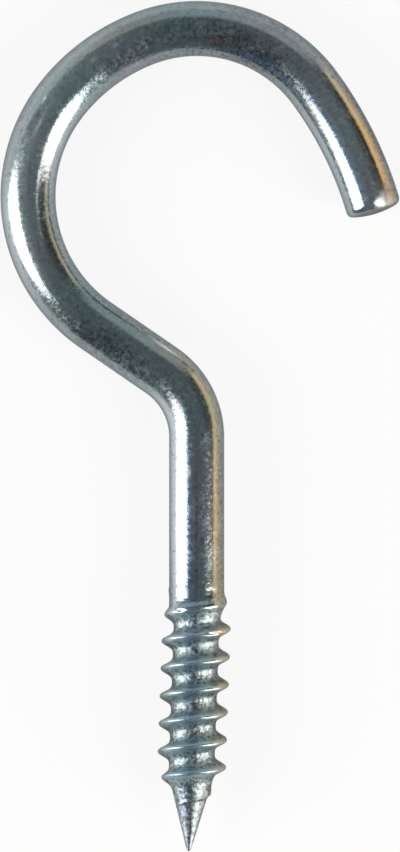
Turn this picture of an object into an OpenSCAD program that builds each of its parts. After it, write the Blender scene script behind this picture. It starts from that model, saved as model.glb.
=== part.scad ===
// Screw hook bent from one length of drawn round wire. A wood-screw thread with a gimlet point is
// rolled on one end, and the other end turns through a neck into an open, slightly oval hook.
//
// Frame: the hook lies flat. X is the side that the mouth opens to, Y runs up the shank towards
// the hook and Z points up. The origin is on the wire's axis, where the thread starts.

/* [Wire] */
// Diameter of the drawn wire
wire_d = 5.2; // [4.6:0.05:6]

/* [Shank] */
// Straight length of the shank, from the thread to the neck
shank_len = 14; // [4:0.5:40]

/* [Neck] */
// Radius of the neck's bend, on the wire's axis
neck_r = 7.6; // [4:0.1:14]
// Angle that the neck turns away from the shank
neck_angle = 55.5; // [30:0.5:70]
// Straight length between the neck and the hook
slant_len = 7.5; // [2:0.5:12]

/* [Hook] */
// Radius of the hook's back, on the wire's axis
back_r = 14.75; // [10:0.25:20]
// Angle that the back turns through
back_angle = 93.5; // [80:0.5:110]
// Radius over the crown
crown_r = 18.2; // [12:0.1:24]
// Angle that the crown turns through
crown_angle = 31; // [10:0.5:45]
// Radius of the shoulder, where the wire turns down
shoulder_r = 13.8; // [10:0.1:20]
// Angle that the shoulder turns through
shoulder_angle = 75; // [40:0.5:90]
// Radius of the last, nearly straight length
tail_r = 36; // [20:1:80]
// Angle that the last length turns through
tail_angle = 19; // [5:0.5:30]

/* [Cut end] */
// Straight length before the worn rim
end_len = 0.3; // [0.3:0.1:4]
// Radius of the worn rim round the cut end
rim_r = 0.6; // [0.2:0.05:1]
// Radius of the slight dome on the cut end
dome_r = 8; // [5:0.5:30]

/* [Thread] */
// Length of the threaded end, from the first trace of the thread to the tip
thread_len = 24.95; // [18:0.05:50]
// Distance from one crest to the next
pitch = 2.6; // [1.8:0.05:3.2]
// Diameter over the crests
crest_d = 6.5; // [6:0.05:8]
// Diameter of the core between the crests
root_d = 4.27; // [3.2:0.01:4.5]
// Angle between the ridge's two flanks, where they are steepest
flank_angle = 57; // [45:1:75]
// Length over which the ridge grows to its full height
grow_len = 3.6; // [1:0.1:8]
// Where the core starts to narrow, from the start of the thread
core_start = 1.5; // [0.5:0.1:4]
// Length over which the core narrows from the wire to the root
core_len = 2.2; // [0.8:0.1:6]
// Direction round the wire, from X towards Z, in which the ridge starts
start_angle = 170; // [0:5:355]
// Angle by which the threaded end leans off the line of the shank, towards the hook's back
lean = 2; // [0:0.1:6]
// Length of the thread over which it comes to lean
lean_len = 6.6; // [2:0.2:15]

/* [Point] */
// Angle of the gimlet point, from side to side
point_angle = 31; // [20:1:45]
// Radius of the blunt tip
tip_r = 0.22; // [0.1:0.02:0.4]
// Distance before the cone at which the ridge starts to fade
fade_before = 0.95; // [0:0.05:3]
// Length over which the ridge fades out along the cone
fade_len = 3.3; // [1:0.1:5]

/* [Hidden] */
STEEL = [0.72, 0.75, 0.77];
ROUND = 96;

wire_r = wire_d / 2;
crest_r = crest_d / 2;
root_r = root_d / 2;

// the wire's run from the thread to the cut end: each step is a length on the wire's axis
// and the angle that it turns through, to the left where that is positive
function bend(r, turn) = [r * abs(turn) * PI / 180, turn];
function radius(step) = step[0] * 180 / PI / abs(step[1]);
RUN = [
    [shank_len, 0],
    bend(neck_r, neck_angle),
    [slant_len, 0],
    bend(back_r, -back_angle),
    bend(crown_r, -crown_angle),
    bend(shoulder_r, -shoulder_angle),
    bend(tail_r, -tail_angle),
];

// every second step is a hair thinner and reaches into both its neighbours, so that the steps
// weld into one solid
HAIR = 0.005;
WELD = 0.2;
function thin(i) = i % 2 == 1;
function step_r(i) = thin(i) ? wire_r - HAIR : wire_r;
function step_reach(i) = thin(i) ? WELD : 0;

// the cone touches the ball of the tip, so the ball's radius is seen across the cone's slope
half_point = point_angle / 2;
cone_end = thread_len - tip_r * (1 - sin(half_point));
cone_end_r = tip_r * cos(half_point);
cone_at = cone_end - (root_r - cone_end_r) / tan(half_point);
ridge_end = cone_at - fade_before + fade_len;

// ridge: a bell curve across, whose steepest slope makes the flank angle
bell_w = sqrt(2) * exp(-0.5) * (crest_r - root_r) * tan(flank_angle / 2);

// mesh of the threaded surface: each row follows the ridge, so that one of them is its crest,
// and a row that ends nearer to one of the mesh's flat ends than a share of a step joins it
AROUND = 36;
ROWS = 12;
NEAR_END = 0.15;
row_step = pitch / ROWS;

// the mesh starts this much slimmer than the wire, and the point than the mesh that it starts in
LIP = 0.015;

function clamp(x, low, high) = min(max(x, low), high);
function ease(x) = let (t = clamp(x, 0, 1)) t * t * (3 - 2 * t);

// radius of the core at the distance a from the start of the thread
function core(a) = a < cone_at
    ? wire_r - LIP - (wire_r - LIP - root_r) * ease((a - core_start) / core_len)
    : root_r - (a - cone_at) * tan(half_point);

// height of the ridge's crest over the core
function ridge(a) = (crest_r - core(min(a, cone_at)))
    * clamp(a / grow_len, 0, 1) * ease((ridge_end - a) / fade_len);

// where a row meets a column, and the first and last rows of a column, which lie on its two ends
function angle(j) = 360 * j / AROUND;
function rise(j) = pitch * (angle(j) - start_angle) / 360;
function first(j) = floor(NEAR_END - rise(j) / row_step);
function last(j) = ceil((ridge_end - rise(j)) / row_step - NEAR_END);
function along(i, j) = i <= first(j) ? 0 : i >= last(j) ? ridge_end : i * row_step + rise(j);

// distance along the wire from the nearest crest, and the radius that the bell curve gives there
function off_crest(a, j) = let (turns = (a - rise(j)) / pitch) (turns - round(turns)) * pitch;
function thread_r(a, j) = core(a) + ridge(a) * exp(-pow(off_crest(a, j) / bell_w, 2));

// the thread's axis bends away from the shank's at first, and then leans by a fixed angle
function slant(a) = lean * clamp(a / lean_len, 0, 1);
function drift(a) = tan(lean) * (a < lean_len ? a * a / lean_len / 2 : a - lean_len / 2);

function thread_point(i, j) =
    let (a = along(i, j), r = thread_r(a, j), across = r * cos(angle(j)))
        [across * cos(slant(a)) - drift(a), -a - across * sin(slant(a)), r * sin(angle(j))];

// the surface of the thread and its core, down to where the ridge has faded out
module ridged_core() {
    low = first(AROUND - 1) - 1;
    rows = last(0) - low + 1;
    // one turn on, a column is the first one again, with its rows shifted by a pitch
    function id(i, j) = j == AROUND
        ? id(i + ROWS, 0)
        : j * rows + clamp(i, first(j), last(j)) - low;
    points = [for (j = [0:AROUND - 1], i = [low:low + rows - 1]) thread_point(i, j)];
    sides = [
        for (j = [0:AROUND - 1], i = [low:low + rows - 2])
            let (a = id(i, j), b = id(i, j + 1), c = id(i + 1, j + 1), d = id(i + 1, j))
                each [if (a != d) [a, d, b], if (b != c) [d, c, b]]
    ];
    top = [for (j = [0:AROUND - 1]) id(low, j)];
    bottom = [for (j = [AROUND - 1:-1:0]) id(low + rows - 1, j)];
    polyhedron(points, concat(sides, [top, bottom]), convexity = 10);
}

// the plain end of the cone, with its blunt tip, from a little way inside the ridged core
module gimlet_point() {
    start = ridge_end - WELD;
    translate([-drift(start), -start, 0])
        rotate([0, 0, -lean])
            rotate([90, 0, 0])
                rotate_extrude($fn = ROUND)
                    translate([0, -start])
                        point_profile(start);
}

module point_profile(start) {
    polygon([
        [0, start],
        [core(start) - LIP, start],
        [cone_end_r, cone_end],
        [0, cone_end],
    ]);
    intersection() {
        translate([0, thread_len - tip_r])
            circle(tip_r, $fn = ROUND);
        translate([0, cone_end])
            square([tip_r, tip_r]);
    }
}

module threaded_end() {
    ridged_core();
    gimlet_point();
}

// one step of the wire, from the origin along Y, which reaches past both its ends by reach
module step_of_wire(step, r, reach) {
    if (step[1] == 0)
        translate([0, -reach, 0])
            rotate([-90, 0, 0])
                cylinder(h = step[0] + 2 * reach, r = r, $fn = ROUND);
    else {
        more = abs(step[1]) * reach / step[0];
        mirror([step[1] < 0 ? 1 : 0, 0, 0])
            translate([-radius(step), 0, 0])
                rotate_extrude(angle = abs(step[1]) + 2 * more, start = -more, $fn = 2 * ROUND)
                    translate([radius(step), 0])
                        circle(r, $fn = ROUND);
    }
}

// moves its children to the far end of a step
module after(step) {
    if (step[1] == 0)
        translate([0, step[0], 0])
            children();
    else {
        side = sign(step[1]) * radius(step);
        translate([-side, 0, 0])
            rotate([0, 0, step[1]])
                translate([side, 0, 0])
                    children();
    }
}

// the sheared end of the wire: a worn rim round a slight dome
module cut_end(r, reach) {
    rotate([-90, 0, 0])
        rotate_extrude($fn = ROUND) {
            translate([0, -reach])
                square([r, end_len + reach]);
            translate([0, end_len])
                rim_profile(r);
        }
}

// half of the section past the rim's start: a quarter round, and the dome that touches it
module rim_profile(r) {
    flat_r = r - rim_r;
    sink = sqrt(pow(dome_r - rim_r, 2) - pow(flat_r, 2));
    intersection() {
        square([r, dome_r - sink]);
        union() {
            translate([flat_r, 0])
                circle(rim_r, $fn = ROUND);
            intersection() {
                translate([0, -sink])
                    circle(dome_r, $fn = 4 * ROUND);
                polygon([[0, -sink], [2 * flat_r, sink], [0, 2 * sink]]);
            }
        }
    }
}

// the bent wire from one step of its run to the cut end
module bent_wire(i = 0) {
    if (i < len(RUN)) {
        step_of_wire(RUN[i], step_r(i), step_reach(i));
        after(RUN[i])
            bent_wire(i + 1);
    } else
        cut_end(step_r(i), step_reach(i));
}

module screw_hook() {
    color(STEEL) {
        threaded_end();
        bent_wire();
    }
}

screw_hook();
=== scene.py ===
"""Screw hook of zinc-plated steel wire: its surface, its finish, and a plain studio round it.

Lengths are in millimetres and angles in degrees until a mesh or an object is made, and the frame is
the part's own: the hook lies flat, Y runs up the shank and X points to the side of the mouth. A
place on the wire is given by its length along the wire's axis, from where the thread starts, and
its angle round the wire, from the right of the way up the wire towards the sky.
"""

import math

import bpy
import numpy as np
from mathutils import Matrix, Vector

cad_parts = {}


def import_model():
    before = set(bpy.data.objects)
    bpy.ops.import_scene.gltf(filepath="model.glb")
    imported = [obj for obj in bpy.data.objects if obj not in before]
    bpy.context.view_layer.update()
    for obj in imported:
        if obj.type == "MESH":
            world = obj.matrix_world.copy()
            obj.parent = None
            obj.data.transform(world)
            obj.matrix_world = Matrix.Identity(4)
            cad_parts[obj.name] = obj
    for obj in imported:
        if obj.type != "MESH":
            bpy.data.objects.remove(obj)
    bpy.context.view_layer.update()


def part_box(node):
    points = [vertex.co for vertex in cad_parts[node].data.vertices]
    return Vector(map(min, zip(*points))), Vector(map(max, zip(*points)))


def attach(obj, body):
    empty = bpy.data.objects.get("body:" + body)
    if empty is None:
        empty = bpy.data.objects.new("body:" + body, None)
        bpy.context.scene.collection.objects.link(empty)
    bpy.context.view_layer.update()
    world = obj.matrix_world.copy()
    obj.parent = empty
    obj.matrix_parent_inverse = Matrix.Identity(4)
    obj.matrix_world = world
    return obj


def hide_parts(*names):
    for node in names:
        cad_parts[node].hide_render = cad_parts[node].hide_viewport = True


MM = 0.001

WIRE_R = 2.6


def bend(radius, angle):
    """A step that turns through an angle on a radius: its length is the arc's."""
    return radius * math.radians(abs(angle)), angle


# the wire's run from the thread to the cut end: length of each step on the wire's axis, and the
# angle that it turns through, to the left where that is positive
SHANK = (14.0, 0.0)
NECK = bend(7.6, 55.5)
SLANT = (7.5, 0.0)
BACK = bend(14.75, -93.5)
CROWN = bend(18.2, -31.0)
SHOULDER = bend(13.8, -75.0)
TAIL = bend(36.0, -19.0)
END = (0.3, 0.0)
RUN = [SHANK, NECK, SLANT, BACK, CROWN, SHOULDER, TAIL, END]
RUN_LEN = sum(length for length, _ in RUN)

# the worn rim of the cut end, and the slight dome inside it
RIM_R = 0.6
DOME_R = 8.0
# before the rim the shears drew the wire over in a long round: how much wider its radius is than
# the rim's, how far it turns in, and its place and width as angles round the wire
DRAWN_OVER = 1.7
DRAWN_TURN = 35.0
DRAWN_AT = 122.0
DRAWN_WIDE = 42.0
# length over which the plain wire's rings draw back to where the long round starts
DRAW_BACK_LEN = 4.0
# how far past the plain wire's end the bare sheared face begins, and the length over which it
# sets in
SHEARED_FROM = 0.35
SHEARED_OVER = 0.3

# the thread and the gimlet point
THREAD_LEN = 24.95
PITCH = 2.6
CREST_R = 3.25
ROOT_R = 2.135
FLANK_ANGLE = 57.0
GROW_LEN = 3.6
CORE_START = 1.5
CORE_LEN = 2.2
START_ANGLE = 170.0
LEAN = 2.0
LEAN_LEN = 6.6
HALF_POINT = 15.5
TIP_R = 0.22
FADE_BEFORE = 0.95
FADE_LEN = 3.3
# how much the crest's top is flattened to a narrow land
LAND = 1.0
# a fine low line goes on round the cone, past the ridge's fading: its height and width, where it
# ends, and the lengths over which it sets in and fades out
LINE_HEIGHT = 0.13
LINE_W = 0.16
LINE_END = 21.5
LINE_SETS_IN = 1.5
LINE_FADES = 2.0
# a few shallow rings before the first ridge: their height and spacing, and where they are
RING_HEIGHT = 0.004
RING_STEP = 0.3
RINGS_AT = 1.2
RINGS_REACH = 0.35
# marks of the rolling dies: the height of each, its distance down and its angle, and how far it
# reaches along the wire and round it
DIE_MARKS = [
    # a pit in the first ridge
    (-0.12, 2.3, 122.0, 0.16, 0.3),
    # a crest folded over, and the burrs above and below the fold
    (-0.14, 4.42, 58.0, 0.12, 0.8),
    (0.08, 4.1, 58.0, 0.12, 0.9),
    (0.05, 4.75, 58.0, 0.1, 0.8),
]
# where the rolled surface's look begins, down from the thread's start, and the length over which
# it sets in
ROLLED_FROM = 1.0
ROLLED_OVER = 2.0

# how fine the surface is: points in a ring, the distances between the rings of the thread and of
# the wire, and the rings of each arc at the tip and the cut end
AROUND = 112
THREAD_STEP = 0.062
WIRE_STEP = 0.32
ARC_STEPS = 13


def clamp(x, low, high):
    """The nearest number to x that is neither below low nor above high."""
    return np.minimum(np.maximum(x, low), high)


def ease(x):
    """A smooth step from 0 to 1: three times the square less twice the cube of x, which is held to
    0 to 1."""
    t = clamp(x, 0.0, 1.0)
    return t * t * (3.0 - 2.0 * t)


def bell(offset, width):
    """A bell curve: e to the power of minus the square of the offset over the width."""
    return np.exp(-((offset / width) ** 2))


def patch(length, angle, at_length, at_angle, long, wide):
    """A soft spot on the straightened wire: the product of two bell curves, of the distance along
    the wire and of the distance round it."""
    round_it = ((angle - at_angle + 180.0) % 360.0 - 180.0) * math.pi / 180.0 * WIRE_R
    return bell(length - at_length, long) * bell(round_it, wide)


# ---------------------------------------------------------------- the thread

TAN_POINT = math.tan(math.radians(HALF_POINT))
CONE_END = THREAD_LEN - TIP_R * (1.0 - math.sin(math.radians(HALF_POINT)))
CONE_END_R = TIP_R * math.cos(math.radians(HALF_POINT))
CONE_AT = CONE_END - (ROOT_R - CONE_END_R) / TAN_POINT
RIDGE_END = CONE_AT - FADE_BEFORE + FADE_LEN
# width of the bell curve whose steepest slope makes the flank angle
TAN_FLANK = math.tan(math.radians(FLANK_ANGLE / 2))
BELL_W = math.sqrt(2) * math.exp(-0.5) * (CREST_R - ROOT_R) * TAN_FLANK


def core_radius(down):
    """Radius of the core at a distance down from the thread's start: it eases from the wire's to
    the root's, and past the start of the cone it falls in proportion to the distance."""
    narrowed = WIRE_R - (WIRE_R - ROOT_R) * ease((down - CORE_START) / CORE_LEN)
    return np.where(down < CONE_AT, narrowed, ROOT_R - (down - CONE_AT) * TAN_POINT)


def ridge_height(down):
    """Height of the ridge's crest over the core: it grows in proportion to the distance at the
    start, and eases out along the cone."""
    full = CREST_R - core_radius(clamp(down, 0.0, CONE_AT))
    return full * clamp(down / GROW_LEN, 0.0, 1.0) * ease((RIDGE_END - down) / FADE_LEN)


def off_crest(down, angle):
    """Distance along the wire from the nearest crest of the helix: the distance down, less the
    helix's rise at that angle, taken to the nearest whole pitch."""
    turns = (down - PITCH * (angle - START_ANGLE) / 360.0) / PITCH
    return (turns - np.round(turns)) * PITCH


def ridge_bell(down, angle):
    """How much of the ridge's height is under a point: a bell curve of the distance off the crest,
    whose top is flattened by dividing it by the eighth root of one plus its eighth power."""
    top = LAND * bell(off_crest(down, angle), BELL_W)
    return top / LAND * ((1.0 + LAND**8) / (1.0 + top**8)) ** 0.125


def fine_line(down, angle):
    """Height of the low line on the cone: a narrow bell curve over the helix, which eases in and
    out along it."""
    share = ease((down - CONE_AT) / LINE_SETS_IN) * ease((LINE_END - down) / LINE_FADES)
    return LINE_HEIGHT * share * bell(off_crest(down, angle), LINE_W)


def rolling_marks(down, angle):
    """Height of the marks that the rolling dies left: the shallow rings, as a sine wave of the
    distance down under a bell curve, and the sum of the soft spots."""
    wave = np.sin(2 * math.pi * down / RING_STEP)
    shallow_rings = RING_HEIGHT * wave * bell(down - RINGS_AT, RINGS_REACH)
    pressed = (height * patch(down, angle, *place) for height, *place in DIE_MARKS)
    return sum(pressed, shallow_rings)


def thread_radius(down, angle):
    """Radius of the threaded end: the core, the ridge on it, the fine line on the cone, and the
    marks that the rolling left."""
    ridge = ridge_height(down) * ridge_bell(down, angle)
    return core_radius(down) + ridge + fine_line(down, angle) + rolling_marks(down, angle)


# ---------------------------------------------------------------- the wire's axis


def chord(length, turn, heading):
    """How far an arc moves the centre: its chord is the arc's length, times the sine of half the
    turn over half the turn, and points halfway between the first and the last heading."""
    half = np.radians(turn) / 2
    reach = length * np.sinc(half / math.pi)
    midway = np.radians(heading) + half
    return reach * np.cos(midway), reach * np.sin(midway)


def step_starts():
    """Length, centre and heading at the start of each step of the run, and its turn by length."""
    starts = []
    at, x, y, heading = 0.0, 0.0, 0.0, 90.0
    for length, turn in RUN:
        starts.append((at, x, y, heading, turn / length))
        dx, dy = chord(length, turn, heading)
        at, x, y, heading = at + length, x + dx, y + dy, heading + turn
    return np.array(starts)


def axis_of_wire(length):
    """Centre and heading on the plain wire: those at the start of the step that the length is in,
    moved on by the chord of the part of the step before it."""
    starts = step_starts()
    step = np.searchsorted(starts[:, 0], length, side="right") - 1
    at, x, y, heading, rate = np.moveaxis(starts[np.maximum(step, 0)], -1, 0)
    turn = rate * (length - at)
    dx, dy = chord(length - at, turn, heading)
    return x + dx, y + dy, heading + turn


def axis_of_thread(down):
    """Centre and heading on the threaded end, whose axis bends off the shank's line at first, in
    proportion to the distance, and then leans by a fixed angle."""
    lean = math.tan(math.radians(LEAN))
    drift = lean * np.where(down < LEAN_LEN, down * down / LEAN_LEN / 2, down - LEAN_LEN / 2)
    heading = 90.0 - LEAN * clamp(down / LEAN_LEN, 0.0, 1.0)
    return -drift, -down, heading


def axis(length):
    """Centre and heading anywhere: the threaded end has lengths below nought."""
    thread = axis_of_thread(np.maximum(-length, 0.0))
    wire = axis_of_wire(np.maximum(length, 0.0))
    return [np.where(length < 0.0, on_thread, on_wire) for on_thread, on_wire in zip(thread, wire)]


# ---------------------------------------------------------------- the surface


def tip_rings():
    """Rings of the blunt tip: a ball from its pole to where the cone touches it."""
    tilt = np.radians(np.linspace(0.0, 90.0 - HALF_POINT, ARC_STEPS))
    return -(THREAD_LEN - TIP_R * (1.0 - np.cos(tilt))), TIP_R * np.sin(tilt)


def end_rings(angle):
    """Rings of the sheared end: a long round where the wire is drawn over, whose extra radius
    follows a bell curve of the angle; the rest of a quarter round on the rim; and then the slight
    dome, which the rim's arc touches, as far as its pole."""
    extra = DRAWN_OVER * bell(angle - DRAWN_AT, DRAWN_WIDE)
    turn = math.radians(DRAWN_TURN)
    flat_r = WIRE_R - RIM_R - extra * (1.0 - math.cos(turn))
    rim_at = np.sqrt((DOME_R - RIM_R) ** 2 - flat_r**2)
    meet = np.arctan2(flat_r, rim_at)
    share = np.linspace(0.0, 1.0, ARC_STEPS)[:, None]
    rim = math.pi / 2 + (meet - math.pi / 2) * share
    drawn = np.maximum(rim, math.pi / 2 - turn)
    rim_length = rim_at + RIM_R * np.cos(rim) + extra * (np.cos(drawn) - math.sin(turn))
    rim_radius = flat_r + RIM_R * np.sin(rim) + extra * (np.sin(drawn) - math.cos(turn))
    dome = meet * (1.0 - share[1:])
    length = np.concatenate([rim_length, DOME_R * np.cos(dome)])
    radius = np.concatenate([rim_radius, DOME_R * np.sin(dome)])
    dome_centre = RUN_LEN - math.sqrt((DOME_R - RIM_R) ** 2 - (WIRE_R - RIM_R) ** 2)
    return dome_centre + length, radius


def spread(start, stop, step):
    """Evenly spaced lengths from start up to stop, without stop, no further apart than step."""
    count = math.ceil((stop - start) / step)
    return np.linspace(start, stop, count, endpoint=False)


def rings(angle):
    """Length along the wire and radius of every ring at each angle, from the tip to the cut end.
    The last rings of the plain wire draw back to where the long round starts."""
    across = np.zeros_like(angle)
    tip_length, tip_radius = [values[:, None] + across for values in tip_rings()]
    end_length, end_radius = end_rings(angle)
    thread = spread(-CONE_END, 0.0, THREAD_STEP)[1:, None] + across
    wire = spread(0.0, RUN_LEN, WIRE_STEP)[:, None] + across
    wire = wire + (end_length[0] - RUN_LEN) * ease(1.0 - (RUN_LEN - wire) / DRAW_BACK_LEN)
    wire_radius = np.full_like(wire, WIRE_R)
    length = np.concatenate([tip_length, thread, wire, end_length])
    radius = [tip_radius, thread_radius(-thread, angle), wire_radius, end_radius]
    return length, np.concatenate(radius)


def surface():
    """The whole surface as a grid of two parameters, the length along the wire and the angle round
    it: a point lies its radius off the centre, by the angle's cosine to the right of the heading
    and by the angle's sine towards the sky. Returns the points, lengths, angles and radii."""
    angle = np.arange(AROUND) * 360.0 / AROUND
    length, radius = rings(angle)
    angle = np.broadcast_to(angle, length.shape)
    centre_x, centre_y, heading = axis(length)
    heading = np.radians(heading)
    right = radius * np.cos(np.radians(angle))
    x = centre_x + right * np.sin(heading)
    y = centre_y - right * np.cos(heading)
    z = radius * np.sin(np.radians(angle))
    return np.stack([x, y, z], -1), length, angle, radius


def closed_faces(rows, columns):
    """Faces between neighbouring rings, each closed on itself, and a fan from each pole to its
    ring. Points are numbered from the first pole, ring by ring, to the last pole."""
    ring, column = np.meshgrid(np.arange(rows - 1), np.arange(columns), indexing="ij")
    here = 1 + ring * columns + column
    beside = 1 + ring * columns + (column + 1) % columns
    quads = np.stack([here, here + columns, beside + columns, beside], -1).reshape(-1, 4)
    first, last = 0, 1 + rows * columns
    start = np.arange(columns)
    after = (start + 1) % columns
    tip_fan = np.stack([np.full(columns, first), 1 + start, 1 + after], -1)
    end_ring = last - columns
    end_fan = np.stack([np.full(columns, last), end_ring + after, end_ring + start], -1)
    return quads.tolist() + tip_fan.tolist() + end_fan.tolist()


def with_poles(grid):
    """A grid's values in the order of the mesh's points: its first and last rows are poles."""
    width = grid.shape[2]
    return np.concatenate([grid[:1, 0], grid[1:-1].reshape(-1, width), grid[-1:, 0]])


def closed_mesh(name, points):
    """A smooth closed mesh over a grid of points whose first and last rows are poles."""
    rows, columns = points.shape[:2]
    mesh = bpy.data.meshes.new(name)
    mesh.from_pydata((with_poles(points) * MM).tolist(), [], closed_faces(rows - 2, columns))
    mesh.polygons.foreach_set("use_smooth", np.ones(len(mesh.polygons), bool))
    mesh.update()
    return mesh


# spots on the plating: the length along the wire and the angle round it, how far the spot reaches
# along it and round it, and how strong it is

# coarse, so that the grains stand out as flecks
COARSE = [
    (3.0, 61.0, 5.0, 0.45, 0.4),
    (4.0, 90.0, 5.0, 0.8, 0.2),
    (6.0, 106.0, 8.0, 0.3, 0.5),
    (17.0, 118.0, 3.0, 0.7, 0.9),
    (22.0, 112.0, 3.0, 1.1, 0.8),
    (29.0, 128.0, 4.0, 0.8, 0.5),
    (33.0, 128.0, 2.0, 0.7, 0.5),
    (48.0, 95.0, 9.0, 1.6, 0.3),
    (50.0, 116.0, 3.5, 0.7, 0.4),
    (57.0, 124.0, 6.0, 0.8, 0.4),
    (67.0, 75.0, 6.0, 1.0, 0.4),
    (79.0, 64.0, 3.0, 0.6, 0.6),
    (86.0, 72.0, 8.0, 0.25, 0.7),
    (86.0, 105.0, 7.0, 1.1, 0.5),
]
# paler, cloudy plating; the spots along the left flank, from 141 to 150 degrees, are a painted
# sheen that brightens the flank's reflection towards the left softbox
PALE_AND_SHEEN = [
    (46.0, 100.0, 10.0, 1.6, 0.5),
    (39.0, 103.0, 6.0, 0.45, 0.9),
    (47.0, 108.0, 5.0, 0.5, 0.7),
    (57.0, 118.0, 6.0, 1.8, 0.35),
    (86.0, 35.0, 9.0, 0.9, 0.6),
    (86.0, 76.0, 9.0, 0.35, 1.0),
    (86.0, 98.0, 9.0, 1.2, 0.4),
    (-21.5, 78.0, 3.5, 0.5, 0.5),
    (40.0, 150.0, 9.0, 0.7, 0.6),
    (17.0, 148.0, 5.0, 0.6, 0.8),
    (6.0, 148.0, 9.0, 0.7, 1.0),
    (7.0, 141.0, 9.0, 0.35, 0.8),
    (48.0, 33.0, 5.0, 0.6, 0.4),
    (50.5, 117.0, 3.5, 0.8, 0.5),
]
# darker, pitted plating; the spots on the wire's edges, from 10 to 36 degrees and from 144 to 172
# degrees, are painted shade, where the edges mirror the paper in the wire's own shadow, and those
# at 45 and 47 degrees on the cone are painted shade that dims its highlight
DULL_AND_SHADED = [
    (5.0, 91.0, 8.0, 0.1, 0.6),
    (-6.1, 88.0, 0.3, 0.3, 1.0),
    (-8.6, 90.0, 0.25, 0.25, 1.0),
    (-11.2, 86.0, 0.3, 0.25, 1.0),
    (-13.8, 82.0, 0.35, 0.3, 1.0),
    (-16.2, 84.0, 0.3, 0.3, 1.0),
    (-19.2, 92.0, 0.4, 0.3, 1.0),
    (27.0, 114.0, 5.0, 1.5, 0.6),
    (41.0, 58.0, 6.0, 0.5, 0.45),
    (68.0, 82.0, 6.0, 1.1, 0.45),
    (75.0, 36.0, 4.0, 0.7, 0.4),
    (75.0, 68.0, 5.0, 1.2, 0.6),
    (60.0, 67.0, 3.0, 0.5, 0.3),
    (26.0, 32.0, 8.0, 0.6, 0.35),
    (68.0, 28.0, 6.0, 0.6, 0.35),
    (7.0, 34.0, 9.0, 0.5, 0.3),
    (74.0, 144.0, 4.0, 0.6, 0.25),
    (87.0, 154.0, 8.0, 0.6, 0.45),
    (-2.3, 122.0, 0.14, 0.2, 1.0),
    (-22.0, 87.0, 2.5, 0.14, 0.8),
    (-19.5, 47.0, 1.0, 0.7, 0.35),
    (-10.0, 32.0, 11.0, 1.1, 0.35),
    (-21.5, 45.0, 3.0, 0.5, 0.2),
    (-10.0, 158.0, 11.0, 0.7, 0.35),
    (-10.0, 10.0, 11.0, 0.8, 0.9),
    (-10.0, 172.0, 11.0, 0.8, 0.7),
]
# brown stains; the narrow lines at 55 and 121.5 degrees are a painted red-brown fringe along the
# edge of the warm card's reflection
STAINED_AND_FRINGED = [
    (49.4, 119.0, 0.4, 0.22, 0.55),
    (50.6, 113.0, 0.35, 0.22, 0.5),
    (70.0, 67.0, 1.5, 0.5, 0.4),
    (62.0, 126.0, 4.0, 0.5, 0.3),
    (-22.5, 83.0, 2.0, 0.1, 0.7),
    (86.8, 121.5, 5.5, 0.1, 1.0),
    (87.0, 158.0, 8.0, 0.6, 0.15),
    (7.0, 55.0, 7.0, 0.09, 0.5),
]
# under a film that is blue; the narrow spots at 73.5 and 107 degrees lie along the highlights'
# inner edges and are a painted blue fringe
BLUED_AND_FRINGED = [
    (6.0, 107.0, 9.0, 0.25, 0.6),
    (86.0, 73.5, 8.0, 0.25, 0.8),
    (76.0, 53.0, 4.0, 0.25, 0.8),
    (-10.0, 104.0, 11.0, 0.7, 0.35),
    (-21.5, 110.0, 3.5, 1.5, 0.3),
]
# under a yellowish film; the spots on the right side, from 14 to 43 degrees, are also a painted
# reflection of the warm card
STRAW_AND_WARM_SHEEN = [
    (7.0, 43.0, 8.0, 0.5, 0.5),
    (88.2, 136.0, 6.5, 0.55, 0.9),
    (57.5, 124.0, 5.0, 0.5, 0.2),
    (18.5, 38.0, 5.0, 1.0, 0.3),
    (-4.3, 40.0, 0.4, 0.9, 0.7),
    (-10.0, 14.0, 11.0, 1.3, 1.0),
    (-22.0, 76.0, 2.5, 0.3, 0.4),
]
# scratched or rubbed bright
SCRATCHED = [
    (6.5, 138.0, 8.0, 0.14, 0.25),
    (-0.15, 59.0, 0.09, 0.15, 1.0),
    (-0.32, 66.0, 0.07, 0.15, 0.9),
    (-0.3, 52.0, 0.07, 0.15, 0.8),
    (10.7, 105.0, 0.5, 0.14, 0.8),
    (22.2, 41.0, 1.4, 0.16, 1.0),
    (40.0, 72.0, 1.5, 0.12, 0.35),
    (42.5, 70.5, 1.5, 0.12, 0.5),
    (45.0, 69.0, 1.0, 0.14, 0.7),
    (49.8, 101.0, 1.2, 0.12, 0.7),
    (52.1, 119.5, 0.3, 0.14, 0.9),
    (57.7, 101.5, 0.3, 0.16, 0.5),
    (60.0, 101.5, 0.3, 0.16, 0.5),
]
# left matt, where the shears drew the wire over
MATT = [(92.8, 138.0, 0.9, 1.3, 1.5)]


def spots(length, angle, places):
    """The sum of soft spots, each as strong as its last number says, held to 0 to 1."""
    total = sum(strength * patch(length, angle, *place) for *place, strength in places)
    return clamp(total, 0.0, 1.0)


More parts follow.
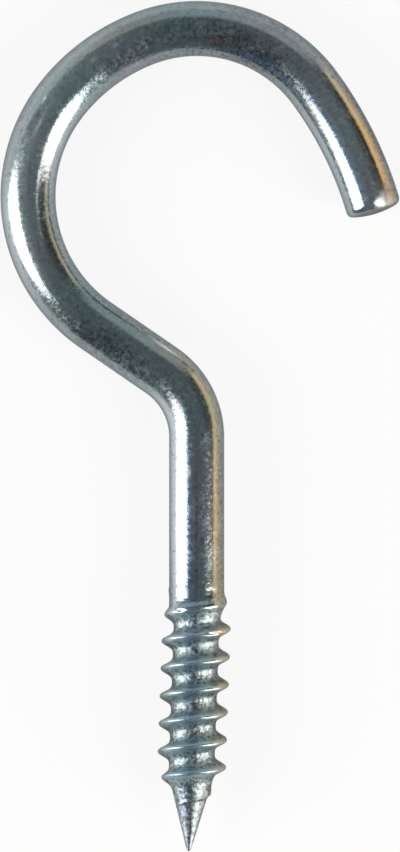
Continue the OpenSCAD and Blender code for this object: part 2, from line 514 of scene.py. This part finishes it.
def marks(length, angle):
    """How much of each mark every point carries, by the mark's name. On the thread the marks follow
    the ridge's bell curve: a crest is its sixth power, a flank is four times the curve times what
    it lacks of one, and a hollow is what it lacks of one."""
    rolled = ease((-length - ROLLED_FROM) / ROLLED_OVER)
    on_cone = 1.0 - ease((RIDGE_END + length) / FADE_LEN)
    on_ridge = ridge_bell(-length, angle) * (1.0 - on_cone)
    crest = rolled * on_ridge**6
    flank = rolled * 4.0 * on_ridge * (1.0 - on_ridge)
    hollow = rolled * (1.0 - on_ridge)
    sheared = ease((length - RUN_LEN - SHEARED_FROM) / SHEARED_OVER)
    matt = clamp(sheared + spots(length, angle, MATT), 0.0, 1.0)
    scratched = spots(length, angle, SCRATCHED)
    coarse = spots(length, angle, COARSE)
    dull_and_shade = spots(length, angle, DULL_AND_SHADED)
    return {
        # shares of the tints
        "rolled": 0.5 * rolled * (1.0 - on_cone) + 0.4 * flank,
        # paler plating, and a painted sheen on the left flank
        "pale_and_sheen": clamp(spots(length, angle, PALE_AND_SHEEN) + 0.85 * hollow, 0.0, 1.0),
        # darker, pitted plating, and painted shade on the wire's edges and the cone
        "dull_and_shade": 0.8 * dull_and_shade,
        # blue film, and a painted blue fringe along the highlights
        "blued_and_fringe": spots(length, angle, BLUED_AND_FRINGED),
        # yellowish film, and a painted reflection of the warm card on the right side
        "straw_and_warm_sheen": spots(length, angle, STRAW_AND_WARM_SHEEN) * (1.0 - hollow * (1.0 - on_cone)),
        # brown stains, and a painted red-brown fringe along the warm reflection
        "stained_and_fringe": spots(length, angle, STAINED_AND_FRINGED),
        "rubbed": 0.35 * crest,
        "sheared": sheared,
        "scratched": scratched,
        # how much more of the grain shows as flecks and as pits, and how many times higher it is
        "flecked": 0.16 * coarse + 0.08 * hollow,
        "pitted": 0.2 * dull_and_shade + 0.18 * hollow,
        "relief": 1.0 + coarse + 7.0 * hollow * (1.0 - 0.6 * on_cone),
        # what is added to the roughness
        "roughened": 0.45 * matt + 0.25 * scratched + 0.22 * flank + 0.1 * crest + 0.14 * hollow,
    }


def make_hook():
    """The plated hook, whose points know their place on the straightened wire, in millimetres, and
    how much of each mark they carry."""
    points, length, angle, radius = surface()
    turn = np.radians(angle)
    unbent = np.stack([radius * np.cos(turn), length, radius * np.sin(turn)], -1)
    mesh = closed_mesh("plated_hook", points)
    place = mesh.attributes.new("unbent", "FLOAT_VECTOR", "POINT")
    place.data.foreach_set("vector", with_poles(unbent).astype(np.float32).ravel())
    for name, grid in marks(length, angle).items():
        mark = mesh.attributes.new(name, "FLOAT", "POINT")
        mark.data.foreach_set("value", with_poles(grid[..., None]).astype(np.float32).ravel())
    hook = bpy.data.objects.new("plated_hook", mesh)
    bpy.context.scene.collection.objects.link(hook)
    return hook


# ---------------------------------------------------------------- nodes and colours


def linear(code):
    """An sRGB hex colour as linear red, green, blue and an alpha of one."""
    values = [int(code[i : i + 2], 16) / 255.0 for i in (1, 3, 5)]
    mixed = [v / 12.92 if v <= 0.04045 else ((v + 0.055) / 1.055) ** 2.4 for v in values]
    return mixed + [1.0]


def add(tree, kind, inputs, output=0, stops=(), **settings):
    """Adds a node with its settings, and the stops of its colour ramp. Each input, by its name or
    number, gets a value or a link. Returns the output of that name or number, where it has any."""
    node = tree.nodes.new(kind)
    for name, value in settings.items():
        setattr(node, name, value)
    for position, _ in stops[2:]:
        node.color_ramp.elements.new(position)
    for number, (position, colour) in enumerate(stops):
        node.color_ramp.elements[number].position = position
        node.color_ramp.elements[number].color = linear(colour)
    for socket, value in inputs.items():
        if isinstance(value, bpy.types.NodeSocket):
            tree.links.new(value, node.inputs[socket])
        else:
            node.inputs[socket].default_value = value
    return node.outputs[output] if node.outputs else None


# numbers of the colour sockets of a mix node
UNDER, OVER, MIXED = 6, 7, 2


def new_material(name):
    """An empty node material and its tree."""
    material = bpy.data.materials.new(name)
    material.use_nodes = True
    material.node_tree.nodes.clear()
    return material, material.node_tree


# ---------------------------------------------------------------- the finish

# depth of the bumps that the plating's grain makes
GRAIN_DEPTH = 0.012


def zinc_plating():
    """Bright zinc plating with a clear blue passivation, on drawn steel wire: a soft mirror that
    the plating's grain, the drawing lines and rubbed spots break up into flecks and pits, with a
    thin film that turns it teal in places and lavender in others."""
    # some tints paint light: shade on the wire's edges, a sheen on the left flank, the warm card's
    # reflection and coloured fringes along the highlights
    material, tree = new_material("bright_zinc_plating")
    attribute = "ShaderNodeAttribute"
    noise = "ShaderNodeTexNoise"
    maths = "ShaderNodeMath"
    ranged = "ShaderNodeMapRange"
    ramp = "ShaderNodeValToRGB"
    place = add(tree, attribute, {}, "Vector", attribute_name="unbent")
    mark = {name: add(tree, attribute, {}, "Fac", attribute_name=name) for name in marks(0.0, 0.0)}

    # grains of the plating, 0.35 mm across, drawn ten times coarser than real ones so that they
    # show, and clouds of them, 2 mm across
    grain = add(tree, noise, {"Vector": place, "Scale": 2.9, "Detail": 3.0, "Roughness": 0.6})
    clouds = add(tree, noise, {"Vector": place, "Scale": 0.5, "Detail": 2.0, "Roughness": 0.6})
    # lines of the wire drawing, 0.15 mm apart and some 4 mm long
    stretch = {0: place, 1: (7.0, 0.25, 7.0)}
    stretched = add(tree, "ShaderNodeVectorMath", stretch, operation="MULTIPLY")
    lines = add(tree, noise, {"Vector": stretched, "Scale": 1.0, "Detail": 2.0, "Roughness": 0.6})
    # the film's colour drifts over 8 mm, and blotches from olive to violet are 0.6 mm across
    drift = add(tree, noise, {"Vector": place, "Scale": 0.13, "Detail": 1.0})
    blotch = add(tree, noise, {"Vector": place, "Scale": 1.7, "Detail": 2.0})

    # flecks show where the grains and clouds stand high, and pits where the grains lie low
    high = add(tree, maths, {0: clouds, 1: 0.5, 2: grain}, operation="MULTIPLY_ADD")
    high = add(tree, maths, {0: high, 1: mark["flecked"]}, operation="ADD")
    fleck = add(tree, ranged, {"Value": high, "From Min": 0.76, "From Max": 1.06})
    fleck_tint = add(tree, maths, {0: fleck, 1: 0.5}, operation="MULTIPLY")
    low = add(tree, maths, {0: grain, 1: mark["pitted"]}, operation="SUBTRACT")
    pit = {"Value": low, "From Min": 0.42, "From Max": 0.22, "To Max": 0.65}
    pit = add(tree, ranged, pit)
    line = {"Value": lines, "From Min": 0.6, "From Max": 0.75, "To Max": 0.3}
    line = add(tree, ranged, line)

    drift_stops = [(0.35, "#8B9C9E"), (0.5, "#8F9A9D"), (0.65, "#97999F")]
    blotch_stops = [(0.35, "#F4F4EA"), (0.5, "#F8F8F8"), (0.62, "#EEEAF3")]
    colour = add(
        tree,
        "ShaderNodeMix",
        {
            "Factor": 1.0,
            UNDER: add(tree, ramp, {"Fac": drift}, stops=drift_stops),
            OVER: add(tree, ramp, {"Fac": blotch}, stops=blotch_stops),
        },
        MIXED,
        data_type="RGBA",
        blend_type="MULTIPLY",
    )
    # tints, each laid over the ones before it by its share
    tints = [
        (mark["rolled"], "#9CB8C1"),
        # paler plating, and a painted sheen on the left flank
        (mark["pale_and_sheen"], "#B9C4C6"),
        # darker, pitted plating, and painted shade on the wire's edges and the cone
        (mark["dull_and_shade"], "#4A5052"),
        # yellowish film, and a painted reflection of the warm card on the right side
        (mark["straw_and_warm_sheen"], "#BE9F6C"),
        # blue film, and a painted blue fringe along the highlights
        (mark["blued_and_fringe"], "#7E9CC4"),
        (pit, "#333A3C"),
        (fleck_tint, "#B4BCBE"),
        (line, "#5E666A"),
        # brown stains, and a painted red-brown fringe along the warm reflection
        (mark["stained_and_fringe"], "#74391C"),
        (mark["rubbed"], "#C2C6C4"),
        (mark["sheared"], "#7C7C7C"),
        (mark["scratched"], "#E9EEF0"),
    ]
    for share, tint in tints:
        mix = {"Factor": share, UNDER: colour, OVER: linear(tint)}
        colour = add(tree, "ShaderNodeMix", mix, MIXED, data_type="RGBA")

    # the flecks are rougher than the soft mirror between them
    roughness = add(tree, ranged, {"Value": fleck, "To Min": 0.17, "To Max": 0.34})
    roughness = add(tree, maths, {0: roughness, 1: mark["roughened"]}, operation="ADD")

    # bumps of the grains and the drawing lines, on those of the clouds
    clouded = add(tree, maths, {0: clouds, 1: 1.5}, operation="MULTIPLY")
    height = add(tree, maths, {0: lines, 1: 0.3, 2: grain}, operation="MULTIPLY_ADD")
    height = add(tree, maths, {0: height, 1: mark["relief"], 2: clouded}, operation="MULTIPLY_ADD")
    bump = {"Height": height, "Strength": 1.0, "Distance": GRAIN_DEPTH * MM}
    bump = add(tree, "ShaderNodeBump", bump)

    finish = {
        "Base Color": colour,
        "Metallic": 1.0,
        "Roughness": roughness,
        "Specular Tint": linear("#C0C4C6"),
        "Normal": bump,
    }
    shader = add(tree, "ShaderNodeBsdfPrincipled", finish)
    add(tree, "ShaderNodeOutputMaterial", {"Surface": shader})
    return material


# ---------------------------------------------------------------- the studio

FLOOR_SIZE = 6000.0
# how much of the paper shows plain white
PLAIN_WHITE = 0.85
# the camera's distance from the hook, how far it sees, and the width of its sensor
CAMERA_DISTANCE = 1200.0
CAMERA_REACH = 10000.0
SENSOR = 36.0
# how many times the hook's length the camera sees
VIEW_MARGIN = 1.0024
LIGHT_DISTANCE = 600.0
# radiance and colour of the softboxes, and of the warm card
SOFTBOX_LIGHT = (5.5, "#FFFDF8")
CARD_LIGHT = (1.25, "#FFE9B8")
# azimuth and angle off the zenith of the middle of the room's dark side, and of the flag. The flag
# starts and is full where the cosine of the angle to its middle has these values.
DARK_SIDE = (250.0, 19.0)
FLAG_AT = (14.0, 64.0)
FLAG_STARTS = 0.84
FLAG_FULL = 0.93


def direction(azimuth, off_zenith):
    """The unit vector at an azimuth from X towards Y, and at an angle off the zenith."""
    turn = math.radians(azimuth)
    tilt = math.radians(off_zenith)
    across = math.sin(tilt)
    return Vector((across * math.cos(turn), across * math.sin(turn), math.cos(tilt)))


def softbox(name, centre, towards, size, radiance, colour, shape="ELLIPSE", roll=0.0):
    """A softbox in the direction given, facing the centre, whose size is the width and height in
    degrees that it is seen under from there. Its power is its radiance times its area and pi."""
    light = bpy.data.lights.new(name, "AREA")
    light.shape = shape
    light.size, light.size_y = [
        2 * LIGHT_DISTANCE * MM * math.tan(math.radians(angle / 2)) for angle in size
    ]
    fill = math.pi / 4 if shape == "ELLIPSE" else 1.0
    light.energy = radiance * math.pi * light.size * light.size_y * fill
    light.color = linear(colour)[:3]
    box = bpy.data.objects.new(name, light)
    box.location = centre + towards * LIGHT_DISTANCE * MM
    facing = towards.to_track_quat("Z", "Y").to_matrix().to_4x4()
    box.rotation_euler = (facing @ Matrix.Rotation(math.radians(roll), 4, "Z")).to_euler()
    box.visible_camera = False
    bpy.context.scene.collection.objects.link(box)


def room():
    """The grey room round the softboxes, which pales towards the horizon except on its dark side,
    with a darker round flag over the warm card."""
    world = bpy.data.worlds.new("studio_room")
    bpy.context.scene.world = world
    world.use_nodes = True
    tree = world.node_tree
    tree.nodes.clear()
    vectors = "ShaderNodeVectorMath"
    way = add(tree, "ShaderNodeTexCoord", {}, "Generated")
    to_dark_side = {0: way, 1: direction(*DARK_SIDE)}
    to_dark_side = add(tree, vectors, to_dark_side, "Value", operation="DOT_PRODUCT")
    # the walls' colours, by the cosine of the angle to the middle of the dark side
    wall_stops = [(0.29, "#D6E0E2"), (0.42, "#848F92"), (1.0, "#858D90")]
    walls = add(tree, "ShaderNodeValToRGB", {"Fac": to_dark_side}, stops=wall_stops)
    to_flag = {0: way, 1: direction(*FLAG_AT)}
    to_flag = add(tree, vectors, to_flag, "Value", operation="DOT_PRODUCT")
    flag = {"Value": to_flag, "From Min": FLAG_STARTS, "From Max": FLAG_FULL}
    flag = add(tree, "ShaderNodeMapRange", flag, interpolation_type="SMOOTHSTEP")
    mix = {"Factor": flag, UNDER: walls, OVER: linear("#6A6E6E")}
    colour = add(tree, "ShaderNodeMix", mix, MIXED, data_type="RGBA")
    background = add(tree, "ShaderNodeBackground", {"Color": colour})
    add(tree, "ShaderNodeOutputWorld", {"Surface": background})


def white_paper():
    """Smooth white paper, most of which shows plain white to the camera and in mirrors and glass,
    so that the hook lies on white and still throws a soft shadow."""
    material, tree = new_material("white_paper")
    paper = {"Base Color": linear("#FAF8F5"), "Roughness": 0.35}
    paper = add(tree, "ShaderNodeBsdfPrincipled", paper)
    glow = add(tree, "ShaderNodeEmission", {"Color": linear("#FFFFFF"), "Strength": 1.0})
    seen = [
        add(tree, "ShaderNodeLightPath", {}, ray)
        for ray in ("Is Camera Ray", "Is Glossy Ray", "Is Transmission Ray")
    ]
    seen_by = add(tree, "ShaderNodeMath", {0: seen[0], 1: seen[1]}, operation="MAXIMUM")
    seen_by = add(tree, "ShaderNodeMath", {0: seen_by, 1: seen[2]}, operation="MAXIMUM")
    share = add(tree, "ShaderNodeMath", {0: seen_by, 1: PLAIN_WHITE}, operation="MULTIPLY")
    mix = add(tree, "ShaderNodeMixShader", {0: share, 1: paper, 2: glow})
    add(tree, "ShaderNodeOutputMaterial", {"Surface": mix})
    return material


def make_floor(height):
    """A wide sheet of paper under the hook: a square, seen from above."""
    half = FLOOR_SIZE / 2 * MM
    sides = [(-half, -half), (half, -half), (half, half), (-half, half)]
    mesh = bpy.data.meshes.new("paper_floor")
    mesh.from_pydata([(x, y, height) for x, y in sides], [], [(0, 1, 2, 3)])
    mesh.materials.append(white_paper())
    floor = bpy.data.objects.new("paper_floor", mesh)
    bpy.context.scene.collection.objects.link(floor)


def make_camera(centre, view_height):
    """A camera straight over the hook, so far off that its view is nearly parallel. Its lens is to
    its sensor as its distance is to the height of the view."""
    away = CAMERA_DISTANCE * MM
    camera = bpy.data.cameras.new("camera")
    camera.sensor_width = SENSOR
    camera.lens = SENSOR * away / view_height
    camera.clip_end = CAMERA_REACH * MM
    holder = bpy.data.objects.new("camera", camera)
    holder.location = centre + Vector((0.0, 0.0, away))
    bpy.context.scene.collection.objects.link(holder)
    bpy.context.scene.camera = holder


def make_lights(centre):
    """A tall softbox on the left of the hook, another on its lower right, and a dim warm card low
    on its right."""
    left = direction(189.5, 64.2)
    softbox("left_softbox", centre, left, (35.0, 51.5), *SOFTBOX_LIGHT, roll=-20.0)
    low_right = direction(336.0, 66.0)
    softbox("low_softbox", centre, low_right, (30.5, 64.0), *SOFTBOX_LIGHT, roll=4.0)
    right = direction(5.0, 81.0)
    softbox("warm_card", centre, right, (70.0, 18.0), *CARD_LIGHT, shape="RECTANGLE")


# ---------------------------------------------------------------- the scene


def main():
    """The hook in place of its CAD solid, on the paper, under the camera and the lights."""
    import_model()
    low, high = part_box("screw_hook")
    centre = Vector(((low.x + high.x) / 2, (low.y + high.y) / 2, 0.0))

    hook = make_hook()
    hook.data.materials.append(zinc_plating())
    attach(hook, "root")
    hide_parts("screw_hook")

    make_floor(low.z)
    make_camera(centre, (high.y - low.y) * VIEW_MARGIN)
    make_lights(centre)
    room()
    bpy.context.scene.view_settings.view_transform = "Standard"


main()
